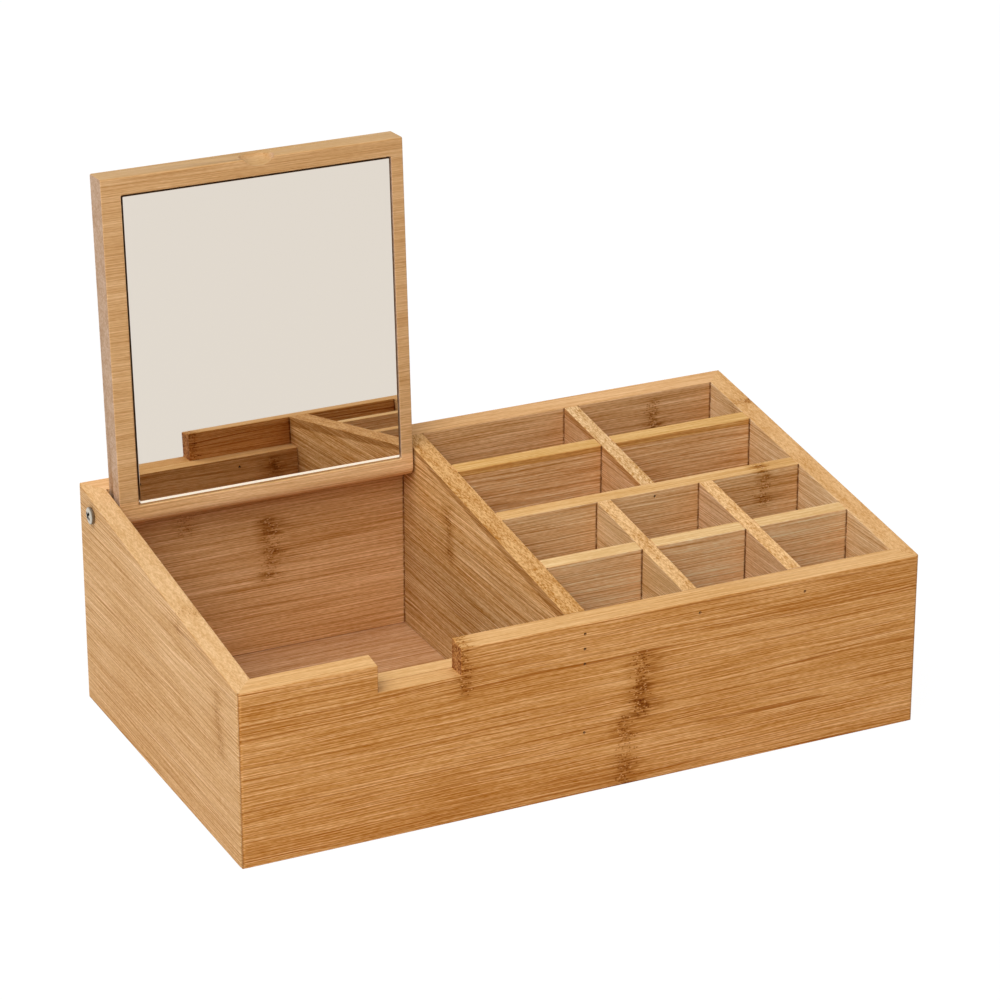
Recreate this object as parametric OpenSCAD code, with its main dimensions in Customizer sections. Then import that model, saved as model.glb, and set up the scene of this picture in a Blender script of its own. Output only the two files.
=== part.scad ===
// Desk-top vanity box in bamboo: a sloping open box with a grid of small compartments on the
// right and, on the left, one wide compartment under a hinged lid that carries a mirror.
// The lid is drawn open, leaning back against the back panel.
// X runs to the right, Y to the back and Z up. The origin is the centre of the underside.

/* [Box] */
// Width of the box across its front
box_w = 300; // [270:1:400]
// Depth of the box from front to back
box_d = 171; // [165:1:240]
// Height of the box at its front
front_h = 74.5; // [60:0.5:90]
// Height of the box at its back
back_h = 97; // [92:0.5:140]
// Thickness of the four outer panels
wall_t = 9; // [7:0.5:12]
// Radius of the upright outer corners
corner_r = 2; // [1:0.5:4]
// Thickness of the base panel
base_t = 9; // [6:0.5:12]
// How far the base panel reaches under each outer panel
rebate = 4; // [2:0.5:5]
// Gap round the base panel in its rebate
base_gap = 0.2; // [0.1:0.1:0.5]

/* [Mirror compartment] */
// Clear width of the compartment under the lid
bay_w = 133.5; // [110:0.5:140]
// Thickness of the divider between the mirror compartment and the grid
mid_divider_t = 9; // [7:0.5:12]
// Width of the finger notch in the front panel
notch_w = 35; // [25:1:50]
// Depth of the finger notch below the front edge
notch_depth = 11.5; // [10.5:0.5:14]
// Thickness of the strip that the closed lid rests on
rest_strip_t = 7.5; // [6.5:0.5:9]
// Height of that strip
rest_strip_h = 22; // [16:1:35]

/* [Grid] */
// Thickness of the grid dividers
divider_t = 6.5; // [4:0.5:8]
// Depth of the front row of compartments
first_row_d = 34.5; // [28:0.5:36]
// Depth of the second row of compartments
second_row_d = 34; // [28:0.5:35]
// Depth of the third row of compartments
third_row_d = 36; // [28:0.5:37]
// Width of the left compartment in the two front rows
front_left_w = 43.5; // [35:0.5:46]
// Width of the middle compartment in the two front rows
front_middle_w = 41.5; // [35:0.5:46]
// Width of the left compartment in the two rear rows
rear_left_w = 67.5; // [50:0.5:80]
// Play of a divider in the slot that it is lapped into
lap_gap = 0.1; // [0.05:0.05:0.3]

/* [Lid] */
// Thickness of the lid board
lid_t = 12; // [10:0.5:13]
// Gap between the lid and the panel on each side of it
lid_side_gap = 1; // [0.5:0.05:1.5]
// Gap between the rounded pivot end of the lid and the back panel
lid_back_gap = 0.7; // [0.6:0.05:1.5]
// Gap between the free end of the closed lid and the front panel
lid_front_gap = 5.4; // [1:0.1:6]
// How far the top of the closed lid lies below the panels beside it
lid_sink = 0.5; // [0:0.1:1.5]
// Angle at which the open lid leans back
lid_lean = 3.2; // [0:0.1:3.2]
// Radius of the mirror-side edge at the pivot end
lid_heel_r = 4.6; // [3.5:0.1:5]
// Radius of the two edges at the free end
lid_tip_r = 1; // [0.5:0.1:3]
// Radius of the ball cutter that leaves the thumb scoop
scoop_r = 9; // [8:0.1:11]
// Height of the cutter's centre over the free end
scoop_rise = 5; // [4:0.1:6]
// How far the cutter's centre lies in from the mirror face
scoop_inset = 2.5; // [1:0.1:3.5]
// How far the scoop lies to the right of the lid's middle
scoop_shift = 2.3; // [-20:0.1:20]

/* [Mirror] */
// Width of the wooden border left of the mirror recess
border_left = 8.5; // [6:0.1:12]
// Width of the wooden border right of the mirror recess
border_right = 5.4; // [4:0.1:12]
// Height of the wooden border above the mirror recess
border_top = 7.6; // [7:0.1:14]
// Height of the wooden border below the mirror recess
border_bottom = 8.6; // [8.6:0.1:14]
// Corner radius of the mirror recess
recess_r = 0.8; // [0.6:0.1:3]
// Thickness of the mirror glass
mirror_t = 3; // [2:0.5:3.5]
// Gap between the mirror glass and the wall of its recess
mirror_gap = 0.7; // [0.4:0.1:1]
// How far the glass lies below the face of the lid
mirror_set_back = 0.4; // [0:0.1:0.8]
// Thickness of the double-sided tape behind the glass
tape_t = 0.8; // [0.4:0.1:1]
// Width of each strip of tape
tape_w = 20; // [12:1:30]
// Distance of the tape from the edges of the glass
tape_inset = 12; // [6:1:20]

/* [Pivot screws] */
// Diameter of the plain shank
screw_d = 4; // [3:0.5:4]
// Radial play of the shank in the panel
screw_play = 0.05; // [0.02:0.01:0.1]
// Diameter of the pan head
screw_head_d = 7.2; // [7:0.1:9]
// Height of the pan head
screw_head_h = 1.8; // [1.4:0.1:2.5]
// Gap between the pan head and the panel
screw_head_gap = 0.3; // [0.2:0.05:0.5]
// Depth to which the screw reaches into the lid
screw_grip = 15; // [10:1:20]
// Length of the point at the end of the screw
screw_point = 3; // [2:0.5:4]
// Length of each slot of the cross recess
cross_l = 4; // [3:0.1:5]
// Width of each slot of the cross recess
cross_w = 0.9; // [0.6:0.1:1.2]
// Depth of the cross recess
cross_depth = 1.1; // [0.8:0.1:1.3]

/* [Brads] */
// Diameter of the brads
brad_d = 1.2; // [1:0.1:1.6]
// Length of the brads that join panels and dividers
brad_l = 18; // [14:1:22]
// Length of the brads in the lid rest strip
strip_brad_l = 12; // [9:0.5:12]
// Depth of each brad head below the surface
brad_sink = 1; // [0.5:0.1:1.5]
// Radial play of a brad in its hole
brad_play = 0.02; // [0.01:0.01:0.05]
// Length of the point of each brad
brad_point = 2; // [1:0.5:3]

/* [Hidden] */
$fn = 48;
cut = 1; // how far a cutting shape reaches past the face that it opens

// Angle of the top edges and their height at a depth y from the front
slope = atan((back_h - front_h) / box_d);
function top_z(y) = front_h + (back_h - front_h) * y / box_d;

// Places across the width, measured from the left outer face
mid_x = wall_t + bay_w;
grid_x = mid_x + mid_divider_t;
grid_end_x = box_w - wall_t;
front_left_x = grid_x + front_left_w;
front_right_x = front_left_x + divider_t + front_middle_w;
rear_x = grid_x + rear_left_w;

// Places across the depth, measured from the front outer face
row_front_y = wall_t + first_row_d;
row_middle_y = row_front_y + divider_t + second_row_d;
row_rear_y = row_middle_y + divider_t + third_row_d;
back_y = box_d - wall_t;

// Half-way height at which a column divider is lapped with a row divider at depth y
function lap_z(y) = (base_t + top_z(y + divider_t / 2)) / 2;

notch_floor_z = front_h - notch_depth;

// The lid turns about the middle of its thickness and closes just below the sloping top
pivot_y = back_y - lid_back_gap - lid_t / 2;
pivot_z = top_z(pivot_y) - lid_t / 2 / cos(slope) - lid_sink;
lid_w = bay_w - 2 * lid_side_gap;
lid_reach = (pivot_y - wall_t - lid_front_gap - lid_t / 2 * sin(slope)) / cos(slope);
lid_x = wall_t + lid_side_gap;

// Mirror recess and glass on the lid, from the lid's left edge and up from the pivot
recess_w = lid_w - border_left - border_right;
recess_z = border_bottom - lid_t / 2;
recess_h = lid_reach - border_top - recess_z;
recess_depth = mirror_set_back + mirror_t + tape_t;
glass_w = recess_w - 2 * mirror_gap;
glass_h = recess_h - 2 * mirror_gap;

// How far the brads sit below the top edge of the panel that they are driven through
front_brad_drops = [4.5, 11, 17.5, 47.5];
back_brad_drops = [17, 42, 67];
edge_brad_drop = 5.5;
row_brad_drop = 2.4;
strip_brad_drop = 4.5;
strip_brad_x = [9.5, 57, 105]; // from the left side of the mirror compartment

// Moves a shape measured from the front left corner to the origin at the centre
module centred() {
    translate([-box_w / 2, -box_d / 2, 0]) children();
}

// Flat shape with rounded corners, from 0,0 to size
module rounded_plate(size, r) {
    translate([r, 0]) square([size[0] - 2 * r, size[1]]);
    translate([0, r]) square([size[0], size[1] - 2 * r]);
    for (x = [r, size[0] - r], y = [r, size[1] - r])
        translate([x, y]) circle(r = r);
}

// Turns a flat shape drawn in depth and height, and gives it a width along X
module across(width) {
    rotate([90, 0, 90]) linear_extrude(width) children();
}

// Everything below the sloping top of the box
module below_top() {
    across(box_w) polygon([[0, 0], [box_d, 0], [box_d, back_h], [0, front_h]]);
}

// The ring of the four outer panels, with the rebate for the base panel
module wall_ring() {
    under = wall_t - rebate;
    intersection() {
        difference() {
            linear_extrude(back_h) rounded_plate([box_w, box_d], corner_r);
            translate([wall_t, wall_t, -cut])
                cube([box_w - 2 * wall_t, box_d - 2 * wall_t, back_h + 2 * cut]);
            translate([under, under, -cut])
                cube([box_w - 2 * under, box_d - 2 * under, base_t + cut]);
        }
        below_top();
    }
}

// One outer panel: the part of the ring inside a mitred outline
module mitred_panel(outline) {
    intersection() {
        wall_ring();
        linear_extrude(back_h) polygon(outline);
    }
}

// A brad lying along +Y with its head at the origin
module brad(length) {
    rotate([-90, 0, 0]) {
        cylinder(d = brad_d, h = length - brad_point);
        translate([0, 0, length - brad_point]) cylinder(d1 = brad_d, d2 = brad_d / 4, h = brad_point);
    }
}

// The hole that a brad is driven into, opened to the surface over its head
module brad_hole(length) {
    translate([0, -brad_sink - cut, 0]) rotate([-90, 0, 0])
        cylinder(d = brad_d + 2 * brad_play, h = brad_sink + cut + length);
}

// Each set of brads, or of their holes, as places for the children
module at_front_brads() {
    for (drop = front_brad_drops)
        translate([mid_x + mid_divider_t / 2, brad_sink, front_h - drop]) children();
    for (x = [front_left_x, front_right_x])
        translate([x + divider_t / 2, brad_sink, front_h - edge_brad_drop]) children();
}

module at_back_brads() {
    for (drop = back_brad_drops, x = [mid_x + mid_divider_t / 2, rear_x + divider_t / 2])
        translate([x, box_d - brad_sink, back_h - drop]) rotate([0, 0, 180]) children();
}

module at_side_brads() {
    for (y = [row_front_y, row_middle_y, row_rear_y])
        translate([box_w - brad_sink, y + divider_t / 2, top_z(y) - edge_brad_drop])
            rotate([0, 0, 90]) children();
}

module at_row_brads() {
    z = top_z(row_middle_y) - row_brad_drop;
    translate([rear_x + divider_t / 2, row_middle_y + brad_sink, z]) children();
    for (x = [front_left_x, front_right_x])
        translate([x + divider_t / 2, row_middle_y + divider_t - brad_sink, z])
            rotate([0, 0, 180]) children();
}

module at_strip_brads() {
    for (x = strip_brad_x)
        translate([wall_t + x, wall_t + rest_strip_t - brad_sink, notch_floor_z - strip_brad_drop])
            rotate([0, 0, 180]) children();
}

module front_panel() {
    color("peru") centred() difference() {
        mitred_panel([[0, 0], [box_w, 0], [box_w - wall_t, wall_t], [wall_t, wall_t]]);
        translate([wall_t + (bay_w - notch_w) / 2, -cut, notch_floor_z])
            cube([notch_w, wall_t + 2 * cut, back_h]);
        at_front_brads() brad_hole(brad_l);
        at_strip_brads() brad_hole(strip_brad_l);
    }
}

module back_panel() {
    color("peru") centred() difference() {
        mitred_panel([[0, box_d], [box_w, box_d], [box_w - wall_t, back_y], [wall_t, back_y]]);
        at_back_brads() brad_hole(brad_l);
    }
}

module left_side_panel() {
    color("burlywood") centred() difference() {
        mitred_panel([[0, 0], [wall_t, wall_t], [wall_t, back_y], [0, box_d]]);
        translate([-cut, 0, 0]) screw_bore(wall_t + 2 * cut);
    }
}

module right_side_panel() {
    color("burlywood") centred() difference() {
        mitred_panel([[box_w, 0], [grid_end_x, wall_t], [grid_end_x, back_y], [box_w, box_d]]);
        at_side_brads() brad_hole(brad_l);
    }
}

module base_panel() {
    inset = wall_t - rebate + base_gap;
    color("tan") centred() translate([inset, inset, 0])
        cube([box_w - 2 * inset, box_d - 2 * inset, base_t]);
}

module middle_divider() {
    color("burlywood") centred() difference() {
        intersection() {
            translate([mid_x, wall_t, base_t]) cube([mid_divider_t, back_y - wall_t, back_h]);
            below_top();
        }
        translate([mid_x - cut, 0, 0]) screw_bore(mid_divider_t + 2 * cut);
        at_front_brads() brad_hole(brad_l);
        at_back_brads() brad_hole(brad_l);
    }
}

module lid_rest_strip() {
    color("tan") centred() difference() {
        translate([wall_t, wall_t, notch_floor_z - rest_strip_h])
            cube([bay_w, rest_strip_t, rest_strip_h]);
        at_strip_brads() brad_hole(strip_brad_l);
    }
}

// A grid divider along X at depth y, slotted from above at each x in slots
module row_divider(y, slots) {
    difference() {
        intersection() {
            translate([grid_x, y, base_t]) cube([grid_end_x - grid_x, divider_t, back_h]);
            below_top();
        }
        for (x = slots)
            translate([x - lap_gap, y - cut, lap_z(y)])
                cube([divider_t + 2 * lap_gap, divider_t + 2 * cut, back_h]);
    }
}

// A grid divider along Y at x, slotted from below where it crosses the row at depth slot
module column_divider(x, from_y, to_y, slot) {
    difference() {
        intersection() {
            translate([x, from_y, base_t]) cube([divider_t, to_y - from_y, back_h]);
            below_top();
        }
        translate([x - cut, slot - lap_gap, base_t - cut])
            cube([divider_t + 2 * cut, divider_t + 2 * lap_gap, lap_z(slot) - base_t + cut]);
    }
}

module row_divider_front() {
    color("tan") centred() difference() {
        row_divider(row_front_y, [front_left_x, front_right_x]);
        at_side_brads() brad_hole(brad_l);
    }
}

module row_divider_middle() {
    color("tan") centred() difference() {
        row_divider(row_middle_y, []);
        at_side_brads() brad_hole(brad_l);
        at_row_brads() brad_hole(brad_l);
    }
}

module row_divider_rear() {
    color("tan") centred() difference() {
        row_divider(row_rear_y, [rear_x]);
        at_side_brads() brad_hole(brad_l);
    }
}

// One of the two columns between the front panel and the middle row
module front_column(x) {
    color("burlywood") centred() difference() {
        column_divider(x, wall_t, row_middle_y, row_front_y);
        at_front_brads() brad_hole(brad_l);
        at_row_brads() brad_hole(brad_l);
    }
}

module column_divider_front_left() {
    front_column(front_left_x);
}

module column_divider_front_right() {
    front_column(front_right_x);
}

module column_divider_rear() {
    color("burlywood") centred() difference() {
        column_divider(rear_x, row_middle_y + divider_t, back_y, row_rear_y);
        at_row_brads() brad_hole(brad_l);
        at_back_brads() brad_hole(brad_l);
    }
}

// Places a shape on the open lid: X from its left edge, Z up from the pivot, -Y out of the mirror
module on_lid() {
    centred() translate([lid_x, pivot_y, pivot_z]) rotate([-lid_lean, 0, 0]) children();
}

// Outline of the lid board in thickness and height, with its rounded pivot end
module lid_outline() {
    half = lid_t / 2;
    translate([-half, 0]) square([lid_t, lid_reach - lid_tip_r]);
    translate([-half + lid_tip_r, 0]) square([lid_t - 2 * lid_tip_r, lid_reach]);
    for (side = [-1, 1])
        translate([side * (half - lid_tip_r), lid_reach - lid_tip_r]) circle(r = lid_tip_r);
    circle(r = half);
    translate([-half, -half + lid_heel_r]) square([half, half - lid_heel_r]);
    translate([-half + lid_heel_r, -half]) square([half - lid_heel_r, half]);
    translate([-half + lid_heel_r, -half + lid_heel_r]) circle(r = lid_heel_r);
}

module lid_board() {
    color("peru") on_lid() difference() {
        across(lid_w) lid_outline();
        translate([border_left, -lid_t / 2 + recess_depth, recess_z]) rotate([90, 0, 0])
            linear_extrude(recess_depth + cut) rounded_plate([recess_w, recess_h], recess_r);
        translate([lid_w / 2 + scoop_shift, -lid_t / 2 + scoop_inset, lid_reach + scoop_rise])
            sphere(r = scoop_r, $fn = 64);
        for (x = [-cut, lid_w - screw_grip])
            translate([x, 0, 0]) rotate([0, 90, 0]) cylinder(d = screw_d, h = screw_grip + cut);
    }
}

module mirror_glass() {
    color("silver") on_lid()
        translate([border_left + mirror_gap, -lid_t / 2 + mirror_set_back + mirror_t, recess_z + mirror_gap])
            rotate([90, 0, 0]) linear_extrude(mirror_t)
                rounded_plate([glass_w, glass_h], recess_r - mirror_gap / 2);
}

module mirror_tape_strips() {
    tape_x = border_left + mirror_gap + tape_inset;
    color("white") on_lid()
        for (x = [tape_x, lid_w - border_right - mirror_gap - tape_inset - tape_w])
            translate([x, -lid_t / 2 + recess_depth - tape_t, recess_z + mirror_gap + tape_inset])
                cube([tape_w, tape_t, glass_h - 2 * tape_inset]);
}

// The bore that a pivot screw turns in, along X from the left outer face
module screw_bore(length) {
    translate([0, pivot_y, pivot_z]) rotate([0, 90, 0])
        cylinder(d = screw_d + 2 * screw_play, h = length);
}

// A pivot screw along +X through a panel that is through thick, with its head over x = 0
module pivot_screw(through) {
    shank_end = through + lid_side_gap + screw_grip - screw_point;
    crown_r = (pow(screw_head_d / 2, 2) + pow(screw_head_h, 2)) / screw_head_h;
    difference() {
        translate([-screw_head_gap, 0, 0]) rotate([0, 90, 0]) {
            intersection() {
                translate([0, 0, -screw_head_h]) cylinder(d = screw_head_d, h = screw_head_h);
                translate([0, 0, crown_r - screw_head_h]) sphere(r = crown_r, $fn = 64);
            }
            cylinder(d = screw_d, h = shank_end + screw_head_gap);
            translate([0, 0, shank_end + screw_head_gap])
                cylinder(d1 = screw_d, d2 = screw_d / 5, h = screw_point);
        }
        for (turn = [0, 90])
            translate([-screw_head_gap - screw_head_h + cross_depth / 2, 0, 0]) rotate([turn + 45, 0, 0])
                cube([cross_depth + cut, cross_w, cross_l], center = true);
    }
}

module left_pivot_screw() {
    color("gainsboro") centred() translate([0, pivot_y, pivot_z]) pivot_screw(wall_t);
}

module right_pivot_screw() {
    color("gainsboro") centred() translate([grid_x, pivot_y, pivot_z])
        mirror([1, 0, 0]) pivot_screw(mid_divider_t);
}

module front_panel_brads() {
    color("dimgray") centred() at_front_brads() brad(brad_l);
}

module back_panel_brads() {
    color("dimgray") centred() at_back_brads() brad(brad_l);
}

module side_panel_brads() {
    color("dimgray") centred() at_side_brads() brad(brad_l);
}

module row_divider_brads() {
    color("dimgray") centred() at_row_brads() brad(brad_l);
}

module rest_strip_brads() {
    color("dimgray") centred() at_strip_brads() brad(strip_brad_l);
}

front_panel();
back_panel();
left_side_panel();
right_side_panel();
base_panel();
middle_divider();
lid_rest_strip();
row_divider_front();
row_divider_middle();
row_divider_rear();
column_divider_front_left();
column_divider_front_right();
column_divider_rear();
lid_board();
mirror_glass();
mirror_tape_strips();
left_pivot_screw();
right_pivot_screw();
front_panel_brads();
back_panel_brads();
side_panel_brads();
row_divider_brads();
rest_strip_brads();
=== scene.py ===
import math
import bmesh
import bpy
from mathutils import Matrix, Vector


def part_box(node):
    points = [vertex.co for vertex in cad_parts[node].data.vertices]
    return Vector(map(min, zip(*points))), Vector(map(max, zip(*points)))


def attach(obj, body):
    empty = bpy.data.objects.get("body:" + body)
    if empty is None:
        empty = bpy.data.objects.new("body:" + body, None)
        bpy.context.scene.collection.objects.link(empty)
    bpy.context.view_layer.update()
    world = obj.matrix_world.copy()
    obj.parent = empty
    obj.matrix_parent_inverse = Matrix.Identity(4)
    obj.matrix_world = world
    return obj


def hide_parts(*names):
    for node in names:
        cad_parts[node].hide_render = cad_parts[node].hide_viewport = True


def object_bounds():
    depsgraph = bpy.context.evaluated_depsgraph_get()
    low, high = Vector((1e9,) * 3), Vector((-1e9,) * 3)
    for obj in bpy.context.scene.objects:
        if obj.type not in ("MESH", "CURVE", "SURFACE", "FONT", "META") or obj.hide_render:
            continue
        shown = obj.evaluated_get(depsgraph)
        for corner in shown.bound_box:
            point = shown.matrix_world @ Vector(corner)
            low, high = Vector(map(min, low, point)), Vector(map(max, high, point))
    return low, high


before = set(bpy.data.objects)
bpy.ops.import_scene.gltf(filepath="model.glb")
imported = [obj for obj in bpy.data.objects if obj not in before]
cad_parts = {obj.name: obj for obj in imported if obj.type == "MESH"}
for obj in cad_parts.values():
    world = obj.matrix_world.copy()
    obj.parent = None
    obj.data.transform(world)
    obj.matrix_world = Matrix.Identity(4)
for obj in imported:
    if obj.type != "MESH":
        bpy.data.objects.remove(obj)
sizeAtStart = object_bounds()
print("stage: frame loaded")

# lengths are in millimetres here, in the scene in metres
mm = 0.001
backTop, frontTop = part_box("left_side_panel")[1] / mm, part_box("front_panel")[1] / mm
rimSlope = (backTop.z - frontTop.z) / (backTop.y - frontTop.y)  # the top edges fall to the front
rimMiddle = backTop.z - rimSlope * backTop.y
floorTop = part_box("base_panel")[1].z / mm
pivot = sum(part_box("left_pivot_screw"), Vector()) / (2 * mm)  # the lid turns about it


def facesOf(axis, boards):
    # where the two faces of each board lie along an axis
    return [corner["xyz".index(axis)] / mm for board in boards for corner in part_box(board)]


def tone(red, green, blue):
    parts = [c / 255 for c in (red, green, blue)]
    return tuple(c / 12.92 if c <= 0.04045 else ((c + 0.055) / 1.055) ** 2.4 for c in parts) + (1.0,)


# small helpers for shader nodes
def put(tree, socket, value):
    if value is None:
        return
    if isinstance(value, bpy.types.NodeSocket):
        tree.links.new(value, socket)
    else:
        socket.default_value = value


def calc(tree, operation, a, b=None, c=None, clamp=False):
    node = tree.nodes.new("ShaderNodeMath")
    node.operation = operation
    node.use_clamp = clamp
    for socket, value in zip(node.inputs, (a, b, c)):
        put(tree, socket, value)
    return node.outputs[0]


def remap(tree, value, low, high, toLow=0.0, toHigh=1.0):
    node = tree.nodes.new("ShaderNodeMapRange")
    node.interpolation_type = "SMOOTHSTEP"
    for socket, v in zip(node.inputs, (value, low, high, toLow, toHigh)):
        put(tree, socket, v)
    return node.outputs[0]


def fadeOut(tree, value, low, high, strength=1.0):
    return remap(tree, value, low, high, strength, 0.0)


def ramp(tree, value, factor, offset):
    return calc(tree, "MULTIPLY_ADD", value, factor, offset, clamp=True)


def around(tree, value, share, level):
    # adds a noise value to a level, counted from the noise's middle
    return calc(tree, "MULTIPLY_ADD", calc(tree, "SUBTRACT", value, 0.5), share, level)


def times(tree, *values):
    result = values[0]
    for value in values[1:]:
        result = calc(tree, "MULTIPLY", result, value)
    return result


def mixColor(tree, factor, a, b, blend="MIX"):
    node = tree.nodes.new("ShaderNodeMix")
    node.data_type = "RGBA"
    node.blend_type = blend
    put(tree, node.inputs[0], factor)
    put(tree, node.inputs[6], a)
    put(tree, node.inputs[7], b)
    return node.outputs[2]


def vectorOf(tree, x, y, z):
    node = tree.nodes.new("ShaderNodeCombineXYZ")
    for socket, value in zip(node.inputs, (x, y, z)):
        put(tree, socket, value)
    return node.outputs[0]


def partsOf(tree, vector):
    node = tree.nodes.new("ShaderNodeSeparateXYZ")
    put(tree, node.inputs[0], vector)
    return node.outputs


def stretched(tree, vector, scales, shift=None):
    node = tree.nodes.new("ShaderNodeVectorMath")
    node.operation = "MULTIPLY_ADD"
    put(tree, node.inputs[0], vector)
    node.inputs[1].default_value = scales
    if shift is not None:
        put(tree, node.inputs[2], vectorOf(tree, shift, shift, shift))
    return node.outputs[0]


def inMillimetres(tree, place):
    return stretched(tree, place["Object"], (1 / mm,) * 3)


def noise(tree, vector, detail=1.0, rough=0.5):
    node = tree.nodes.new("ShaderNodeTexNoise")
    put(tree, node.inputs["Vector"], vector)
    node.inputs["Scale"].default_value = 1.0
    node.inputs["Detail"].default_value = detail
    node.inputs["Roughness"].default_value = rough
    return node.outputs[0]


def cells(tree, vector):
    node = tree.nodes.new("ShaderNodeTexVoronoi")
    put(tree, node.inputs["Vector"], vector)
    node.inputs["Scale"].default_value = 1.0
    return node.outputs["Distance"], node.outputs["Color"]


def chance(tree, number):
    # one random value for each whole number
    node = tree.nodes.new("ShaderNodeTexWhiteNoise")
    node.noise_dimensions = "1D"
    put(tree, node.inputs["W"], number)
    return node.outputs["Value"]


def newMaterial(name):
    material = bpy.data.materials.new(name)
    material.use_nodes = True
    tree = material.node_tree
    place = tree.nodes.new("ShaderNodeTexCoord")
    return material, tree, tree.nodes["Principled BSDF"], place.outputs


def newGroup(name, inputs, outputs):
    group = bpy.data.node_groups.new(name, "ShaderNodeTree")
    for label, kind, value in inputs:
        socket = group.interface.new_socket(name=label, in_out="INPUT", socket_type="NodeSocket" + kind)
        if value is not None:
            socket.default_value = value
    for label, kind in outputs:
        group.interface.new_socket(name=label, in_out="OUTPUT", socket_type="NodeSocket" + kind)
    return group, group.nodes.new("NodeGroupInput").outputs, group.nodes.new("NodeGroupOutput").inputs


def useGroup(tree, group, **values):
    node = tree.nodes.new("ShaderNodeGroup")
    node.node_tree = group
    for label, value in values.items():
        put(tree, node.inputs[label], value)
    return node.outputs


# bamboo fibres: a row starts with how often its pattern comes back in a millimetre, along and across them
grainLook = {
    "sways": ((0.008, 0.03, 2.2), (0.05, 0.12, 0.5)),  # then how far it bends the fibres
    # then how much it darkens them
    "layers": ((0.008, 0.07, 0.3), (0.015, 0.3, 0.3), (0.02, 0.7, 0.25), (0.025, 1.3, 0.4),
               (0.04, 2.2, 0.65)),
    "shortFibres": (0.35, 2.6, 0.75),
    # spacing of the dark lines, change along them, their strength and the ridge between them
    "lineSets": ((1.0, 0.02, 1.0, 0.24), (0.57, 0.03, 0.9, 0.4), (0.34, 0.05, 0.7, 0.42)),
    "lineWidth": (0.02, 0.24), "lineCells": 0.8, "lineBreaks": (0.38, 0.6), "slant": 0.7,
    "drift": (0.006, 0.16, 0.16), "driftTurns": 4.0,
    "steps": 2.0, "lineDepth": 1.0, "levelDepth": 0.8, "roughness": (0.6, 0.46),
}


def makeGrainGroup():
    # straight bamboo fibres along X of the vector
    tree, given, result = newGroup(
        "bambooGrain",
        [("Vector", "Vector", None), ("Seed", "Float", 0.0),
         ("Dark", "Color", tone(150, 95, 40)), ("Mid", "Color", tone(195, 135, 72)),
         ("Light", "Color", tone(230, 175, 115)), ("Line", "Color", tone(120, 66, 26)),
         ("Contrast", "Float", 1.0), ("Lines", "Float", 0.6), ("Spacing", "Float", 1.7)],
        [("Color", "Color"), ("Roughness", "Float"), ("Height", "Float")])
    seed = given["Seed"]
    x, y, z = partsOf(tree, given["Vector"])
    for along, across, reach in grainLook["sways"]:
        sway = noise(tree, stretched(tree, given["Vector"], (along, across, across), seed))
        y = around(tree, sway, reach, y)
    bent = vectorOf(tree, x, y, z)

    level = 0.0
    for along, across, share in grainLook["layers"]:
        layer = noise(tree, stretched(tree, bent, (along, across, across), seed), 0.0)
        level = around(tree, layer, share, level)
    along, across, share = grainLook["shortFibres"]
    level = around(tree, noise(tree, stretched(tree, bent, (along, across, across), seed)), share, level)

    # dark lines between the fibre layers, each with its own strength
    drift = noise(tree, stretched(tree, bent, grainLook["drift"], seed), 2.0, 0.55)
    depth = calc(tree, "MULTIPLY_ADD", z, grainLook["slant"], y)
    line = 0.0
    for closer, along, share, ridge in grainLook["lineSets"]:
        turn = calc(tree, "DIVIDE", depth, calc(tree, "MULTIPLY", given["Spacing"], closer))
        turn = calc(tree, "MULTIPLY_ADD", drift, grainLook["driftTurns"], turn)
        index = calc(tree, "ROUND", turn)
        offset = calc(tree, "ABSOLUTE", calc(tree, "SUBTRACT", turn, index))
        across = grainLook["lineCells"]
        patches = noise(tree, stretched(tree, bent, (along, across, across), seed), 2.0, 0.6)
        shown = times(tree, fadeOut(tree, offset, *grainLook["lineWidth"]),
                      chance(tree, calc(tree, "ADD", index, seed)),
                      remap(tree, patches, *grainLook["lineBreaks"], 0.0, share))
        line = calc(tree, "MAXIMUM", line, shown)
        level = calc(tree, "MULTIPLY_ADD", calc(tree, "SUBTRACT", offset, 0.25), ridge, level)
    line = calc(tree, "MULTIPLY", line, given["Lines"], clamp=True)
    level = calc(tree, "MULTIPLY", level, given["Contrast"])

    # from dark over middle to light
    color = mixColor(tree, ramp(tree, level, grainLook["steps"], 1.0), given["Dark"], given["Mid"])
    color = mixColor(tree, ramp(tree, level, grainLook["steps"], 0.0), color, given["Light"])
    put(tree, result["Color"], mixColor(tree, line, color, given["Line"]))
    put(tree, result["Roughness"], remap(tree, level, -0.5, 0.5, *grainLook["roughness"]))
    raised = calc(tree, "MULTIPLY", level, grainLook["levelDepth"])
    put(tree, result["Height"], calc(tree, "MULTIPLY_ADD", line, -grainLook["lineDepth"], raised))
    return tree


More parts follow.
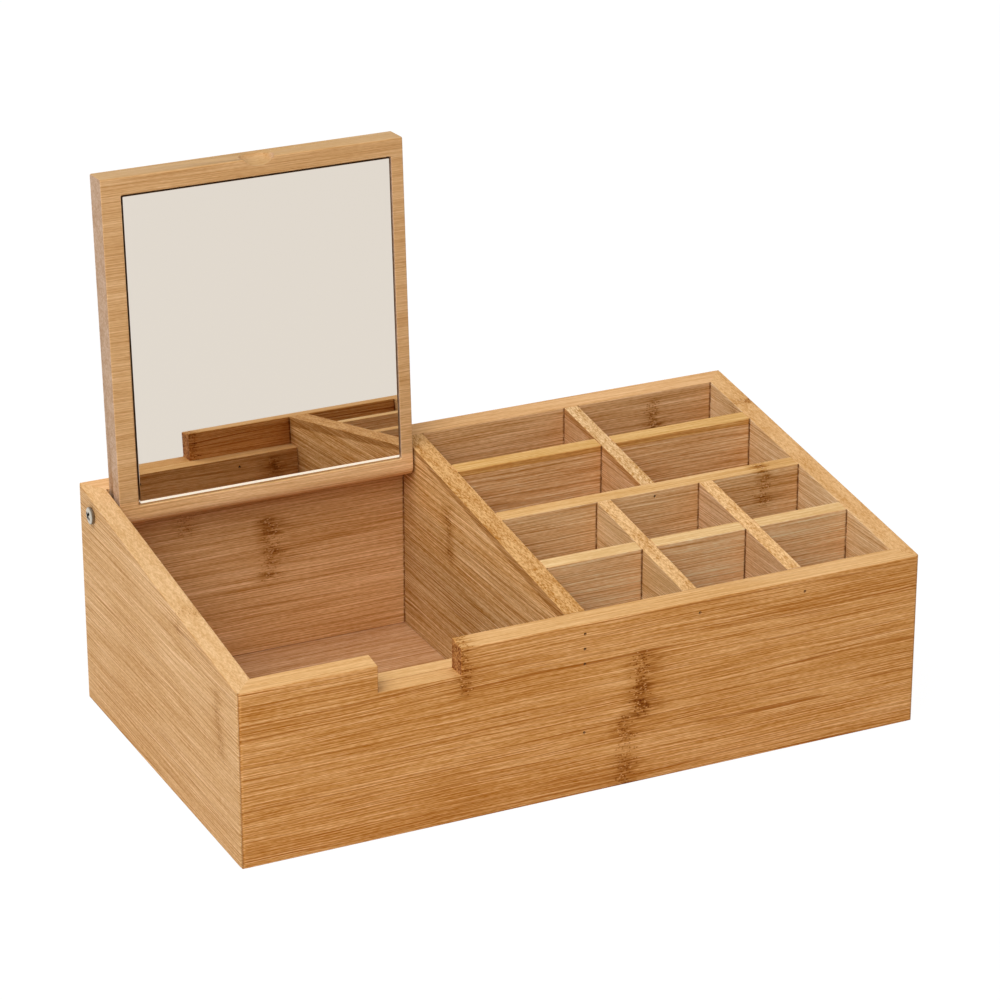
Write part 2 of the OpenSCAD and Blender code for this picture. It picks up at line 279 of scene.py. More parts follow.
# the ring of a bamboo stem
ringLook = {
    "bend": 3.0, "bendCells": (0.07, 0.05), "ragged": 2.2, "rows": 0.7, "turnReach": 5.0, "endFade": 2.5,
    # reach of each part, as shares of the ring's width
    "core": (0.2, 1.05), "halo": (0.2, 2.2), "streaks": (0.1, 4.6), "backSide": -1.8,
    # how often each pattern comes back in a millimetre, along and across the fibres
    "patches": (0.04, 0.11, 0.11), "clumps": (0.3, 0.5, 0.5), "fibres": (0.09, 1.1, 1.1),
    "spots": (0.85, 1.6, 1.6),
    # where a pattern starts and ends, and factor and offset of what it does
    "patchReach": (0.34, 0.58), "clumpReach": (0.4, 0.62), "clumpDepth": (0.3, 1.35),
    "coreDepth": (0.55, 0.25), "haloDepth": (0.45, 0.2), "streakDepth": (0.9, 0.1),
    "bandFibres": (4.0, -1.25), "streakFibres": (9.0, -4.0),
    "spotSize": (0.2, 0.6), "spotEdge": 0.08, "coreSpots": 0.6, "haloSpots": 0.25, "paleSpots": 0.4,
}


def makeRingGroup():
    # ragged rows of dark and pale dots across the fibres, with streaks to both sides
    tree, given, result = newGroup(
        "bambooRing",
        [("Vector", "Vector", None), ("Seed", "Float", 0.0), ("Place", "Float", 0.0), ("Shift", "Float", 0.0),
         ("Turn", "Float", 0.0), ("Low", "Float", 0.0), ("High", "Float", 50.0), ("Width", "Float", 3.0)],
        [("Band", "Float"), ("Streaks", "Float"), ("Dots", "Float"), ("Pale", "Float")])
    seed = given["Seed"]
    x, y, z = partsOf(tree, given["Vector"])

    # the ring's middle bends, steps to the side at the turn, and is ragged from row to row
    up, deep = ringLook["bendCells"]
    bend = vectorOf(tree, calc(tree, "MULTIPLY", y, up), calc(tree, "MULTIPLY", z, deep), seed)
    bend = noise(tree, bend)
    row = calc(tree, "FLOOR", calc(tree, "MULTIPLY", y, ringLook["rows"]))
    row = chance(tree, calc(tree, "ADD", row, seed))
    centre = around(tree, row, ringLook["ragged"], around(tree, bend, ringLook["bend"], given["Place"]))
    reach = ringLook["turnReach"]
    turned = remap(tree, calc(tree, "SUBTRACT", y, given["Turn"]), -reach, reach)
    centre = calc(tree, "MULTIPLY_ADD", turned, given["Shift"], centre)
    beside = calc(tree, "DIVIDE", calc(tree, "SUBTRACT", x, centre), given["Width"])
    away = calc(tree, "ABSOLUTE", beside)
    fade = ringLook["endFade"]
    inside = times(tree, remap(tree, calc(tree, "SUBTRACT", y, given["Low"]), -fade, fade),
                   remap(tree, calc(tree, "SUBTRACT", given["High"], y), -fade, fade))
    core = times(tree, fadeOut(tree, away, *ringLook["core"]), inside)
    halo = times(tree, fadeOut(tree, away, *ringLook["halo"]), inside)
    far = calc(tree, "MAXIMUM", beside, calc(tree, "MULTIPLY", beside, ringLook["backSide"]))
    wide = times(tree, fadeOut(tree, far, *ringLook["streaks"]), inside)

    patches = noise(tree, stretched(tree, given["Vector"], ringLook["patches"], seed))
    patches = remap(tree, patches, *ringLook["patchReach"])
    clumps = noise(tree, stretched(tree, given["Vector"], ringLook["clumps"], seed))
    clumps = remap(tree, clumps, *ringLook["clumpReach"], *ringLook["clumpDepth"])
    fibres = noise(tree, stretched(tree, given["Vector"], ringLook["fibres"], seed), 2.0, 0.65)
    full = times(tree, core, calc(tree, "MULTIPLY_ADD", patches, *ringLook["coreDepth"]), clumps)
    soft = times(tree, halo, calc(tree, "MULTIPLY_ADD", patches, *ringLook["haloDepth"]))
    band = calc(tree, "MULTIPLY", calc(tree, "ADD", soft, full), ramp(tree, fibres, *ringLook["bandFibres"]),
                clamp=True)
    put(tree, result["Band"], band)
    streaks = times(tree, ramp(tree, fibres, *ringLook["streakFibres"]), wide,
                    calc(tree, "MULTIPLY_ADD", patches, *ringLook["streakDepth"]))
    put(tree, result["Streaks"], streaks)

    spot, spotColor = cells(tree, stretched(tree, given["Vector"], ringLook["spots"], seed))
    darkPick, palePick, _ = partsOf(tree, spotColor)
    dot = fadeOut(tree, spot, *ringLook["spotSize"])
    amount = calc(tree, "MULTIPLY_ADD", core, ringLook["coreSpots"],
                  calc(tree, "MULTIPLY", halo, ringLook["haloSpots"]))
    for label, pick, share in (("Dots", darkPick, 1.0), ("Pale", palePick, ringLook["paleSpots"])):
        shown = calc(tree, "SUBTRACT", calc(tree, "MULTIPLY", amount, share), pick)
        put(tree, result[label], times(tree, remap(tree, shown, 0.0, ringLook["spotEdge"]), dot))
    return tree


# cut fibres: cells of each pattern in a millimetre, along and across, and the shares of the three
cutLook = {"grains": (0.75, 2.0, 2.0), "fibres": (0.38, 1.6, 1.6), "patches": (0.02, 0.3, 0.3),
           "shares": (0.75, 1.9, 1.3)}


def makeCutGroup():
    # short pale and dark flecks
    tree, given, result = newGroup("cutFibres", [("Vector", "Vector", None), ("Seed", "Float", 0.0)],
                                   [("Flecks", "Float")])
    seed = given["Seed"]
    grains = partsOf(tree, cells(tree, stretched(tree, given["Vector"], cutLook["grains"], seed))[1])[0]
    fibres = noise(tree, stretched(tree, given["Vector"], cutLook["fibres"], seed), 2.0, 0.7)
    patches = noise(tree, stretched(tree, given["Vector"], cutLook["patches"], seed))
    flecks = 0.5
    for value, share in zip((grains, fibres, patches), cutLook["shares"]):
        flecks = around(tree, value, share, flecks)
    put(tree, result["Flecks"], calc(tree, "ADD", flecks, 0.0, clamp=True))
    return tree


grainGroup = makeGrainGroup()
ringGroup = makeRingGroup()
cutGroup = makeCutGroup()
print("stage: shared effects made")


# what all boards share: how much darker or paler than its own tone each part of a board gets
bambooLook = {
    "dark": -46, "light": 38, "line": -66, "paleDot": 12,
    "topDark": -30, "topLight": 20, "topShare": {"x": 0.78, "y": 0.9}, "topContrast": {"x": 0.6, "y": 1.0},
    "topFromRoughness": (-7.0, 4.2),
    "endDark": -34, "endLight": 24, "endShare": 0.85, "endCells": 0.6,
    "facing": (0.6, 0.9),  # part of the normal along an axis, for a face to count as looking that way
    "specular": 0.05, "bump": 0.3, "bumpDepth": 0.1,
    "ring": (0.76, 0.65, 0.44, 1.0), "streak": (0.62, 0.46, 0.2, 1.0), "dot": (0.5, 0.32, 0.1, 1.0),
    # dark lines where boards meet: their colour, how far they reach and how strong they are
    "joint": tone(114, 62, 12), "jointReach": (0.05, 0.95), "jointDepth": 0.92,
    "footReach": (0.1, 0.6), "footDepth": 0.6, "seamReach": (0.3, 1.2), "seamDepth": 0.7,
    "patches": 0.5, "patchReach": (0.36, 0.56), "patchDepth": (0.4, 1.0),
    "capBlend": (-0.2, 0.2),
}


def shifted(color, amount):
    # paler or darker, with more change in blue than in red
    return tone(*[max(3, min(250, c + amount * share)) for c, share in zip(color, (0.84, 1.04, 1.25))])


def faceMask(tree, board, axis, sign=0):
    # the faces that look along an axis, to one side or with sign 0 to both
    value = board["normals"]["xyz".index(axis)]
    value = calc(tree, "MULTIPLY", value, float(sign)) if sign else calc(tree, "ABSOLUTE", value)
    return remap(tree, value, *bambooLook["facing"])


def paintFibres(tree, board, look):
    mid = look["mid"]
    return useGroup(tree, grainGroup, Vector=board["vector"], Seed=board["seed"], Mid=tone(*mid),
                    Dark=shifted(mid, bambooLook["dark"]), Light=shifted(mid, bambooLook["light"]),
                    Line=shifted(mid, bambooLook["line"]), Contrast=look.get("contrast", 1.0),
                    Lines=look.get("lines", 0.5), Spacing=look.get("spacing", 1.7))


def paintToneAndLightBands(tree, color, board, look):
    # paler or darker bands along the height; the paler upper bands of the middle divider and the paler lowest
    # band of the lid are painted light
    for low, high, soft, tint in look.get("toneAndLightBands", ()):
        mask = times(tree, remap(tree, board["z"], low - soft, low + soft),
                     fadeOut(tree, board["z"], high - soft, high + soft))
        color = mixColor(tree, mask, color, tint, "MULTIPLY")
    return color


def paintCap(tree, color, board, look):
    # a browner layer along the top of one side
    if "cap" not in look:
        return color
    cap = look["cap"]
    drop = calc(tree, "SUBTRACT", calc(tree, "MULTIPLY_ADD", board["y"], rimSlope, rimMiddle), board["z"])
    edge = calc(tree, "MULTIPLY_ADD", board["y"], cap.get("taper", 0.0), cap["width"])
    mask = times(tree, fadeOut(tree, calc(tree, "SUBTRACT", drop, edge), *bambooLook["capBlend"]),
                 faceMask(tree, board, *cap["side"]))
    return mixColor(tree, mask, color, cap["tint"], "MULTIPLY")


def paintTop(tree, color, board, look, fibres):
    # the top edge, which cuts the fibres of the boards that slope to the front
    grain = look["grain"]
    if grain == "y":
        amount = useGroup(tree, cutGroup, Vector=board["vector"], Seed=board["seed"])["Flecks"]
    else:
        amount = ramp(tree, fibres["Roughness"], *bambooLook["topFromRoughness"])
    depth = look.get("topContrast", bambooLook["topContrast"][grain])
    topColor = mixColor(tree, amount, shifted(look["top"], bambooLook["topDark"] * depth),
                        shifted(look["top"], bambooLook["topLight"] * depth))
    mask = calc(tree, "MULTIPLY", faceMask(tree, board, "z", 1), bambooLook["topShare"][grain])
    return mixColor(tree, mask, color, topColor)


def paintEnds(tree, color, board, look):
    # ends of the board, across the fibres
    across = stretched(tree, board["vector"], (bambooLook["endCells"],) * 3)
    flecks = useGroup(tree, cutGroup, Vector=across, Seed=board["seed"])["Flecks"]
    endTone, depth = look.get("end", look["mid"]), look.get("endDepth", 1.0)
    endColor = mixColor(tree, flecks, shifted(endTone, bambooLook["endDark"] * depth),
                        shifted(endTone, bambooLook["endLight"] * depth))
    mask = calc(tree, "MULTIPLY", faceMask(tree, board, look["grain"]), bambooLook["endShare"])
    return mixColor(tree, mask, color, endColor)


def paintRings(tree, color, board, look):
    for ring in look.get("rings", ()):
        parts = useGroup(tree, ringGroup, Vector=board["vector"],
                         Seed=board["seed"] + ring.get("seed", ring["place"]), Place=float(ring["place"]),
                         Low=float(ring["low"]), High=float(ring["high"]), Shift=ring.get("shift", 0.0),
                         Turn=ring.get("turn", 0.0), Width=ring["width"])
        power = ring.get("power", 1.0)
        spots = ring.get("spots", power)
        for part, share, tint in (("Band", power, "ring"), ("Band", power, "ring"),
                                  ("Streaks", power, "streak"), ("Dots", spots, "dot")):
            mask = calc(tree, "MULTIPLY", parts[part], share, clamp=True)
            color = mixColor(tree, mask, color, bambooLook[tint], "MULTIPLY")
        mask = calc(tree, "MULTIPLY", parts["Pale"], spots, clamp=True)
        color = mixColor(tree, mask, color, shifted(look["mid"], bambooLook["paleDot"]))
    return color


def paintJoints(tree, color, board, look):
    # dark lines where other boards stand against this one, broken up along their length
    for axis, sign, others in look.get("meets", ()):
        foot = calc(tree, "ABSOLUTE", calc(tree, "SUBTRACT", board["z"], floorTop))
        mask = fadeOut(tree, foot, *bambooLook["footReach"], look.get("foot", bambooLook["footDepth"]))
        for place in facesOf(look["grain"], others):
            gap = calc(tree, "ABSOLUTE", calc(tree, "SUBTRACT", board["along"], place))
            line = fadeOut(tree, gap, *bambooLook["jointReach"], bambooLook["jointDepth"])
            mask = calc(tree, "MAXIMUM", mask, line)
        patches = noise(tree, stretched(tree, board["vector"], (bambooLook["patches"],) * 3, board["seed"]))
        broken = remap(tree, patches, *bambooLook["patchReach"], *bambooLook["patchDepth"])
        mask = times(tree, mask, broken, faceMask(tree, board, axis, sign))
        color = mixColor(tree, mask, color, bambooLook["joint"])
    return color


def paintSeam(tree, color, board, look):
    # a dark line along the very corner of the box, where the mitres meet
    if not look.get("mitred"):
        return color
    end = sizeAtStart[1]["xyz".index(look["grain"])] / mm
    corner = calc(tree, "SUBTRACT", end, calc(tree, "ABSOLUTE", board["along"]))
    mask = fadeOut(tree, corner, *bambooLook["seamReach"], bambooLook["seamDepth"])
    return mixColor(tree, mask, color, bambooLook["joint"])


def makeBamboo(name, look):
    material, tree, shader, place = newMaterial(name + "_bamboo")
    x, y, z = partsOf(tree, inMillimetres(tree, place))
    along, through = (y, x) if look["grain"] == "y" else (x, y)
    lying = look.get("lying", False)
    vector = vectorOf(tree, along, through, z) if lying else vectorOf(tree, along, z, through)
    board = {"seed": float(look["seed"]), "vector": vector, "along": along, "y": y, "z": z,
             "normals": partsOf(tree, place["Normal"])}

    fibres = paintFibres(tree, board, look)
    color = paintCap(tree, paintToneAndLightBands(tree, fibres["Color"], board, look), board, look)
    if not lying:
        color = paintTop(tree, color, board, look, fibres)
    color = paintRings(tree, paintEnds(tree, color, board, look), board, look)
    color = paintSeam(tree, paintJoints(tree, color, board, look), board, look)

    put(tree, shader.inputs["Base Color"], color)
    put(tree, shader.inputs["Roughness"], fibres["Roughness"])
    shader.inputs["Specular IOR Level"].default_value = bambooLook["specular"]
    bump = tree.nodes.new("ShaderNodeBump")
    bump.inputs["Strength"].default_value = bambooLook["bump"]
    bump.inputs["Distance"].default_value = bambooLook["bumpDepth"] * mm
    put(tree, bump.inputs["Height"], fibres["Height"])
    put(tree, shader.inputs["Normal"], bump.outputs[0])
    return material


# softened edges: angles between two faces in degrees, lengths in millimetres
softLook = {"sharpFrom": 28, "smoothBelow": 30, "flatBelow": 0.5, "joinWithin": 0.002, "smallest": 6.0,
            "segments": 3}


def cleanMesh(node):
    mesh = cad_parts[node].data.copy()
    mesh.materials.clear()
    work = bmesh.new()
    work.from_mesh(mesh)
    bmesh.ops.remove_doubles(work, verts=work.verts, dist=softLook["joinWithin"] * mm)
    bmesh.ops.dissolve_limit(work, angle_limit=math.radians(softLook["flatBelow"]), verts=work.verts,
                             edges=work.edges)
    return mesh, work


def edgeGroups(edges):
    # sets of edges that hang together
    left = set(edges)
    while left:
        group, queue = set(), [left.pop()]
        while queue:
            edge = queue.pop()
            group.add(edge)
            touching = {other for vert in edge.verts for other in vert.link_edges} & left
            left -= touching
            queue.extend(touching)
        yield group


def weighEdges(work, smallest, scoop):
    # bevel weight 1 on every sharp edge, 0 along the mitres, round small holes and in the thumb scoop
    weight = work.edges.layers.float.new("bevel_weight_edge")
    sharpFrom = math.radians(softLook["sharpFrom"])
    sharp = [e for e in work.edges if len(e.link_faces) == 2 and e.calc_face_angle(0) > sharpFrom]
    for group in edgeGroups(sharp):
        points = [v.co for e in group for v in e.verts]
        span = max(max(p[i] for p in points) - min(p[i] for p in points) for i in range(3))
        if span <= smallest * mm:
            continue
        for edge in group:
            ends = [v.co / mm for v in edge.verts]
            inScoop = scoop and all((end - Vector(scoop["at"])).length < scoop["reach"] for end in ends)
            mitred = any(min(abs(f.normal.x), abs(f.normal.y)) > 0.5 for f in edge.link_faces)
            edge[weight] = 0.0 if inScoop or mitred else 1.0


def dressNode(node, body, material, slotName, edge, smallest=softLook["smallest"], scoop=None):
    # a copy of the CAD node with softened edges, in the node's place
    mesh, work = cleanMesh(node)
    weighEdges(work, smallest, scoop)
    work.to_mesh(mesh)
    work.free()
    mesh.name = node + "_look"
    for face in mesh.polygons:
        face.use_smooth = True
    mesh.set_sharp_from_angle(angle=math.radians(softLook["smoothBelow"]))
    mesh.materials.append(material)
    piece = bpy.data.objects.new(node + "_look", mesh)
    bpy.context.scene.collection.objects.link(piece)
    bevel = piece.modifiers.new("soft edges", "BEVEL")
    bevel.limit_method = "WEIGHT"
    bevel.width = edge * mm
    bevel.segments = softLook["segments"]
    bevel.use_clamp_overlap = False
    bevel.harden_normals = True
    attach(piece, body)
    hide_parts(node)


frontRows = ["middle_divider", "column_divider_front_left", "column_divider_front_right", "right_side_panel"]
rearRows = ["middle_divider", "column_divider_rear", "right_side_panel"]
frontAndBack = ["front_panel", "back_panel"]
rowBoards = ["row_divider_front", "row_divider_middle", "row_divider_rear"]

# one entry for each board: its slot in the record, the axis that its fibres follow, the radius of its edges,
# tones from 0 to 255, rings of the stem by their place along the fibres and their ends across them, bands
# as low, high, blend and tint, some of them painted light, and the sides on which other boards meet it
boardLooks = {
    "front_panel": {
        "slot": "panel_bamboo", "grain": "x", "seed": 3, "edge": 0.6, "mitred": True, "mid": (205, 146, 81),
        "top": (221, 176, 119), "end": (176, 114, 48), "endDepth": 2.1, "contrast": 1.08, "lines": 0.9,
        "rings": [{"place": 22.0, "seed": 15.5, "low": 29, "high": 57, "width": 4.2},
                  {"place": 15.5, "low": -5, "high": 31, "width": 4.2, "power": 0.6, "spots": 0.9},
                  {"place": -55.0, "low": 54, "high": 78, "width": 3.0, "power": 0.5, "spots": 1.0}],
        "meets": [("y", 1, ["left_side_panel"] + frontRows)]},
    "back_panel": {
        "slot": "panel_bamboo", "grain": "x", "seed": 11, "edge": 0.6, "mitred": True, "mid": (217, 168, 114),
        "top": (224, 176, 123), "foot": 0.25,
        "rings": [{"place": -107, "low": 68, "high": 79, "width": 4.0, "power": 0.6},
                  {"place": -69.5, "low": 42, "high": 70, "width": 4.6, "power": 0.75},
                  {"place": 113, "low": 60, "high": 92, "width": 3.6, "power": 0.8}],
        "meets": [("y", -1, ["left_side_panel"] + rearRows)]},
    "left_side_panel": {
        "slot": "panel_bamboo", "grain": "y", "seed": 21, "edge": 0.6, "mitred": True, "mid": (214, 169, 116),
        "top": (225, 182, 130), "lines": 0.75, "topContrast": 0.65,
        "rings": [{"place": -67, "shift": 3.0, "turn": 52.0, "low": 40, "high": 67, "width": 3.4,
                   "power": 0.28, "spots": 0.6},
                  {"place": -25, "low": 74, "high": 84, "width": 3.4, "power": 0.25, "spots": 0.5}],
        "meets": [("x", 1, frontAndBack)]},
    "right_side_panel": {
        "slot": "panel_bamboo", "grain": "y", "seed": 33, "edge": 0.6, "mitred": True, "mid": (224, 183, 133),
        "top": (216, 167, 109), "topContrast": 0.8,
        "rings": [{"place": 55, "low": 74, "high": 96, "width": 2.8, "power": 0.6}],
        "meets": [("x", -1, frontAndBack + rowBoards)]},
    "base_panel": {
        "slot": "base_bamboo", "grain": "x", "seed": 41, "edge": 0.3, "lying": True, "mid": (191, 145, 101)},
    "middle_divider": {
        "slot": "divider_bamboo", "grain": "y", "seed": 52, "edge": 0.4, "mid": (194, 153, 100),
        "top": (200, 148, 83), "contrast": 1.2, "lines": 0.95, "topContrast": 1.4, "foot": 0.9,
        # the paler upper bands are painted light, lighter towards the top of the divider
        "toneAndLightBands": [(52, 100, 6, (1.2, 1.2, 1.2, 1.0)), (70, 100, 3, (1.14, 1.14, 1.14, 1.0))],
        "cap": {"side": ("x", -1), "width": 3.2, "taper": -0.0163, "tint": (0.68, 0.58, 0.45, 1.0)},
        "rings": [{"place": 31, "low": 56, "high": 80, "width": 3.4, "power": 0.6}],
        "meets": [("x", -1, frontAndBack), ("x", 1, frontAndBack + rowBoards)]},
    "lid_rest_strip": {
        "slot": "divider_bamboo", "grain": "x", "seed": 63, "edge": 0.3, "mid": (212, 168, 112),
        "top": (231, 187, 131),
        "rings": [{"place": -19.5, "low": 40, "high": 60, "width": 4.0, "power": 0.8}]},
    "row_divider_front": {
        "slot": "divider_bamboo", "grain": "x", "seed": 71, "edge": 0.35, "mid": (238, 191, 138),
        "top": (223, 186, 130), "contrast": 1.1, "lines": 0.95, "meets": [("y", 0, frontRows)]},
    "row_divider_middle": {
        "slot": "divider_bamboo", "grain": "x", "seed": 82, "edge": 0.35, "mid": (229, 182, 128),
        "top": (215, 169, 107), "contrast": 1.1, "lines": 0.95,
        "rings": [{"place": 125, "low": 70, "high": 90, "width": 3.4, "power": 0.8}],
        "meets": [("y", -1, frontRows), ("y", 1, rearRows)]},
    "row_divider_rear": {
        "slot": "divider_bamboo", "grain": "x", "seed": 93, "edge": 0.35, "mid": (231, 180, 125),
        "top": (213, 169, 101), "contrast": 1.1, "lines": 0.9, "spacing": 2.4,
        "cap": {"side": ("y", -1), "width": 2.6, "tint": (0.84, 0.7, 0.42, 1.0)},
        "meets": [("y", 0, rearRows)]},
    "column_divider_front_left": {
        "slot": "divider_bamboo", "grain": "y", "seed": 104, "edge": 0.35, "mid": (218, 177, 124),
        "top": (214, 165, 104), "topContrast": 1.45, "meets": [("x", 0, ["front_panel"] + rowBoards[:2])]},
    "column_divider_front_right": {
        "slot": "divider_bamboo", "grain": "y", "seed": 115, "edge": 0.35, "mid": (215, 172, 126),
        "top": (222, 173, 111), "topContrast": 1.45, "meets": [("x", 0, ["front_panel"] + rowBoards[:2])]},
    "column_divider_rear": {
        "slot": "divider_bamboo", "grain": "y", "seed": 126, "edge": 0.35, "mid": (213, 164, 114),
        "top": (217, 174, 118), "topContrast": 1.45,
        "cap": {"side": ("x", -1), "width": 2.8, "tint": (0.78, 0.66, 0.48, 1.0)},
        "meets": [("x", 0, rowBoards[1:] + ["back_panel"])]},
    "lid_board": {
        "slot": "lid_bamboo", "grain": "x", "body": "lid", "seed": 137, "edge": 0.45, "mid": (215, 170, 117),
        "top": (193, 158, 113), "end": (188, 158, 134), "contrast": 0.62, "lines": 0.35, "endDepth": 0.55,
        # the paler lowest band is painted light along the lid's lower border
        "toneAndLightBands": [(60, 93.5, 0.6, (1.27, 1.31, 1.4, 1.0)), (165, 300, 45, (0.93, 0.9, 0.88, 1.0))],
        "scoop": {"at": (-71.95, 71.5, 229.0), "reach": 11.0}},
}

for boardName, look in boardLooks.items():
    dressNode(boardName, look.get("body", "box"), makeBamboo(boardName, look), look["slot"], look["edge"],
              scoop=look.get("scoop"))
print("stage: boards dressed")


mirrorLook = {
    "tint": tone(223, 215, 204), "roughness": 0.012, "edge": 0.2, "smallest": 1.0,
    # its lower edge, ground to a pale bevel that glows as a painted highlight
    "groundTone": tone(255, 248, 230), "groundTop": 93.1, "groundBlend": 0.08, "groundRoughness": 0.3,
    "paintedEdgeHighlight": 0.3,
}


def makeMirror():
    silver, tree, shader, place = newMaterial("silveredGlass")
    height = partsOf(tree, inMillimetres(tree, place))[2]
    top, blend, pale = mirrorLook["groundTop"], mirrorLook["groundBlend"], mirrorLook["groundTone"]
    ground = fadeOut(tree, height, top - blend, top + blend)
    put(tree, shader.inputs["Base Color"], mixColor(tree, ground, mirrorLook["tint"], pale))
    put(tree, shader.inputs["Metallic"], calc(tree, "SUBTRACT", 1.0, ground))
    # the glow of the ground edge is a painted highlight, the bright line of light along it
    put(tree, shader.inputs["Emission Color"], mixColor(tree, ground, (0.0, 0.0, 0.0, 1.0), pale))
    shader.inputs["Emission Strength"].default_value = mirrorLook["paintedEdgeHighlight"]
    put(tree, shader.inputs["Roughness"],
        calc(tree, "MULTIPLY_ADD", ground, mirrorLook["groundRoughness"], mirrorLook["roughness"]))
    dressNode("mirror_glass", "lid", silver, "mirror", mirrorLook["edge"], mirrorLook["smallest"])


makeMirror()
print("stage: mirror made")


platedLook = {"spots": 2.6, "shade": 0.72, "shadeReach": (0.35, 0.75), "roughReach": (0.2, 0.8),
              "roughSpan": 0.18}
screwLook = {"color": tone(214, 207, 192), "roughness": 0.28, "edge": 0.12, "smallest": 2.0,
             # the rim and the cross on the head are painted shade
             "rimShade": (3.0, 3.65), "rimShadeTone": tone(104, 92, 78), "rimShadeDepth": 0.75,
             "turn": 0.5, "crossHalf": (0.4, 0.65), "crossReach": (1.9, 2.2), "recessShadeTone": tone(34, 30, 28)}
bradLook = {"color": tone(70, 62, 56), "roughness": 0.5}
tapeLook = {"color": tone(226, 226, 220), "poreColor": tone(196, 196, 190), "pores": 3.0,
            "poreReach": (0.3, 0.7), "roughness": 0.9}


def headPaintedShade(tree, vector, color):
    # painted shade: a dark cross where the recess lies in shade, and a darker rim round the axis of the pivot
    _, y, z = partsOf(tree, vector)
    aside, above = calc(tree, "SUBTRACT", y, pivot.y), calc(tree, "SUBTRACT", z, pivot.z)
    cosine, sine = math.cos(screwLook["turn"]), math.sin(screwLook["turn"])
    u = calc(tree, "MULTIPLY_ADD", aside, cosine, calc(tree, "MULTIPLY", above, sine))
    v = calc(tree, "MULTIPLY_ADD", above, cosine, calc(tree, "MULTIPLY", aside, -sine))
    across, along = calc(tree, "ABSOLUTE", u), calc(tree, "ABSOLUTE", v)
    recessShade = times(tree, fadeOut(tree, calc(tree, "MINIMUM", across, along), *screwLook["crossHalf"]),
                  fadeOut(tree, calc(tree, "MAXIMUM", across, along), *screwLook["crossReach"]))
    out = calc(tree, "SQRT", calc(tree, "MULTIPLY_ADD", u, u, calc(tree, "MULTIPLY", v, v)))
    rimShade = remap(tree, out, *screwLook["rimShade"], 0.0, screwLook["rimShadeDepth"])
    return mixColor(tree, recessShade, mixColor(tree, rimShade, color, screwLook["rimShadeTone"]), screwLook["recessShadeTone"])


def makePlated(name, look, withHeadShade=False):
    metal, tree, shader, place = newMaterial(name)
    spots = noise(tree, stretched(tree, place["Object"], (platedLook["spots"] / mm,) * 3), 3.0, 0.6)
    darker = tuple(c * platedLook["shade"] for c in look["color"][:3]) + (1.0,)
    color = mixColor(tree, remap(tree, spots, *platedLook["shadeReach"]), look["color"], darker)
    if withHeadShade:
        color = headPaintedShade(tree, inMillimetres(tree, place), color)
    put(tree, shader.inputs["Base Color"], color)
    shader.inputs["Metallic"].default_value = 1.0
    roughness = remap(tree, spots, *platedLook["roughReach"], look["roughness"],
                      look["roughness"] + platedLook["roughSpan"])
    put(tree, shader.inputs["Roughness"], roughness)
    return metal


def makeTape():
    tape, tree, shader, place = newMaterial("foamTape")
    pores = noise(tree, stretched(tree, place["Object"], (tapeLook["pores"] / mm,) * 3), 2.0)
    pores = remap(tree, pores, *tapeLook["poreReach"])
    put(tree, shader.inputs["Base Color"], mixColor(tree, pores, tapeLook["color"], tapeLook["poreColor"]))
    shader.inputs["Roughness"].default_value = tapeLook["roughness"]
    return tape


def finishNode(name, material):
    # a node that keeps its own shape
    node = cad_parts[name]
    node.data.materials.clear()
    node.data.materials.append(material)


plated = makePlated("platedSteel", screwLook, withHeadShade=True)
for screwName in ("left_pivot_screw", "right_pivot_screw"):
    dressNode(screwName, "lid", plated, "screw_steel", screwLook["edge"], screwLook["smallest"])
bradSteel = makePlated("bradSteel", bradLook)
for bradName in ("front_panel_brads", "back_panel_brads", "side_panel_brads", "row_divider_brads",
                 "rest_strip_brads"):
    finishNode(bradName, bradSteel)
finishNode("mirror_tape_strips", makeTape())
print("stage: metal and tape made")


stageLook = {
    "floorSize": 24.0, "floorColor": (0.82, 0.81, 0.8, 1.0), "floorRoughness": 0.9,
    "lift": 0.94,  # how far the floor shows as white instead of lit, the rest carries the shadow
    "white": 1.035, "skyColor": (1.0, 0.985, 0.96, 1.0), "sky": 0.35,
}


def seenDirectly(tree):
    rays = tree.nodes.new("ShaderNodeLightPath")
    seen = calc(tree, "MAXIMUM", rays.outputs["Is Camera Ray"], rays.outputs["Is Glossy Ray"])
    return calc(tree, "MAXIMUM", seen, rays.outputs["Is Transmission Ray"])


def blendShaders(tree, output, share, lit, white):
    node = tree.nodes.new("ShaderNodeMixShader")
    for socket, value in zip(node.inputs, (share, lit, white)):
        put(tree, socket, value)
    put(tree, tree.nodes[output].inputs[0], node.outputs[0])


def makeFloor():
    bpy.ops.mesh.primitive_plane_add(size=stageLook["floorSize"], location=(0, 0, 0))
    floor = bpy.context.object
    floor.name = "floor"
    material, tree, shader, _ = newMaterial("paleFloor")
    shader.inputs["Base Color"].default_value = stageLook["floorColor"]
    shader.inputs["Roughness"].default_value = stageLook["floorRoughness"]
    shader.inputs["Specular IOR Level"].default_value = 0.0
    glow = tree.nodes.new("ShaderNodeEmission")
    glow.inputs["Strength"].default_value = stageLook["white"]
    share = calc(tree, "MULTIPLY", seenDirectly(tree), stageLook["lift"])
    blendShaders(tree, "Material Output", share, shader.outputs[0], glow.outputs[0])
    floor.data.materials.append(material)


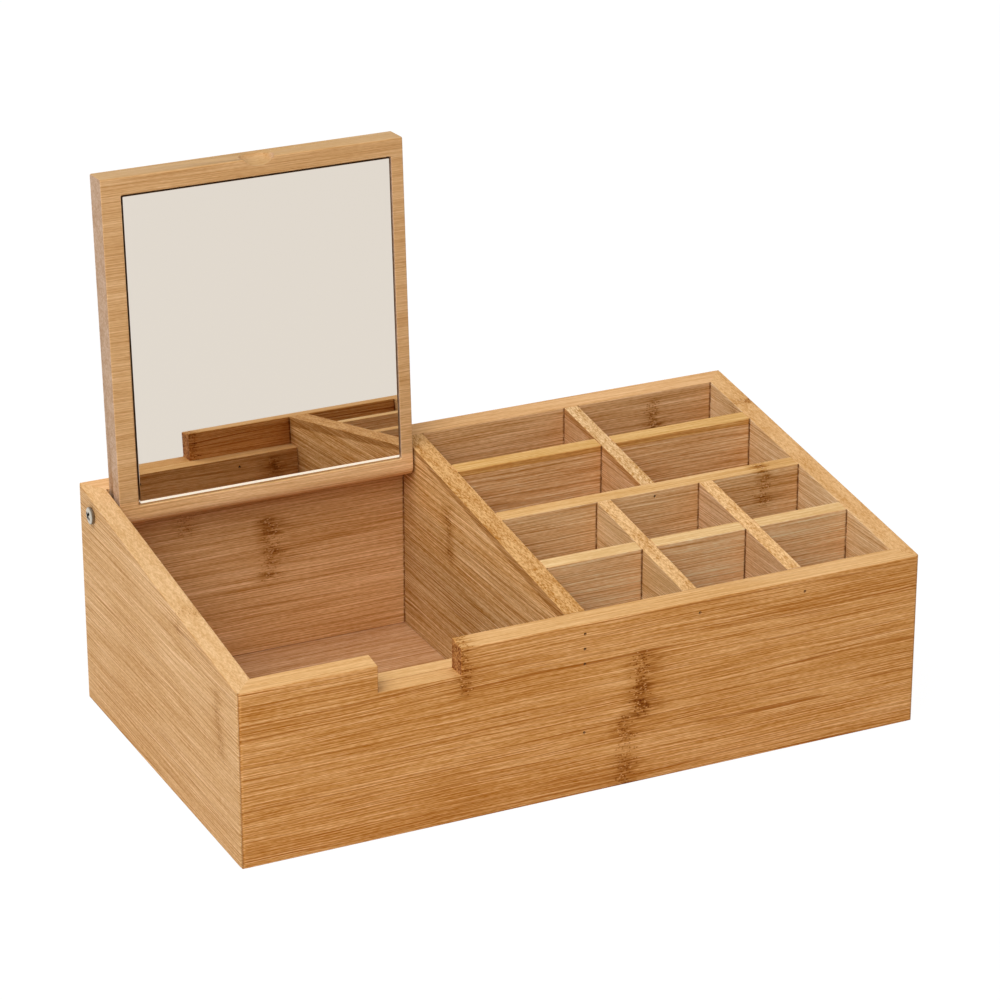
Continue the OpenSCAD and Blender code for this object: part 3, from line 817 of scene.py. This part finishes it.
def makeWorld():
    world = bpy.data.worlds.new("studio")
    bpy.context.scene.world = world
    world.use_nodes = True
    tree = world.node_tree
    light, white = tree.nodes["Background"], tree.nodes.new("ShaderNodeBackground")
    for node, color, strength in ((light, stageLook["skyColor"], stageLook["sky"]), (white, (1.0,) * 4, 1.0)):
        node.inputs[0].default_value = color
        node.inputs[1].default_value = strength
    blendShaders(tree, "World Output", seenDirectly(tree), light.outputs[0], white.outputs[0])


lampLooks = {
    "keyLamp": {"at": (-1.0, -0.35, 1.9), "size": 1.4, "power": 24.0},
    "fillLamp": {"at": (-1.1, -1.4, 1.5), "size": 1.4, "power": 19.0},
    "backLamp": {"at": (1.2, 1.3, 1.5), "size": 1.2, "power": 8.5},
}
lampAim = (0, 0, 0.06)
cameraLook = {"at": (-0.6227, -1.2906, 0.6962), "azimuth": 25.80, "elevation": 22.79, "lens": 137.02,
              "sensor": 36.0, "clip": (0.05, 50.0)}


def setUp(name, data, at, direction):
    thing = bpy.data.objects.new(name, data)
    bpy.context.scene.collection.objects.link(thing)
    thing.location = at
    thing.rotation_mode = "QUATERNION"
    thing.rotation_quaternion = direction.to_track_quat("-Z", "Y")
    return thing


def makeLamps():
    for name, look in lampLooks.items():
        lamp = bpy.data.lights.new(name, "AREA")
        lamp.energy = look["power"]
        lamp.size = look["size"]
        setUp(name, lamp, look["at"], Vector(lampAim) - Vector(look["at"])).visible_glossy = False


def makeCamera():
    data = bpy.data.cameras.new("camera")
    data.lens = cameraLook["lens"]
    data.sensor_width = cameraLook["sensor"]
    data.clip_start, data.clip_end = cameraLook["clip"]
    azimuth, elevation = math.radians(cameraLook["azimuth"]), math.radians(cameraLook["elevation"])
    direction = Vector((math.sin(azimuth) * math.cos(elevation), math.cos(azimuth) * math.cos(elevation),
                        -math.sin(elevation)))
    bpy.context.scene.camera = setUp("camera", data, cameraLook["at"], direction)


makeFloor()
makeWorld()
makeLamps()
makeCamera()
bpy.context.scene.view_settings.view_transform = "Standard"
print("stage: floor, light and camera made")
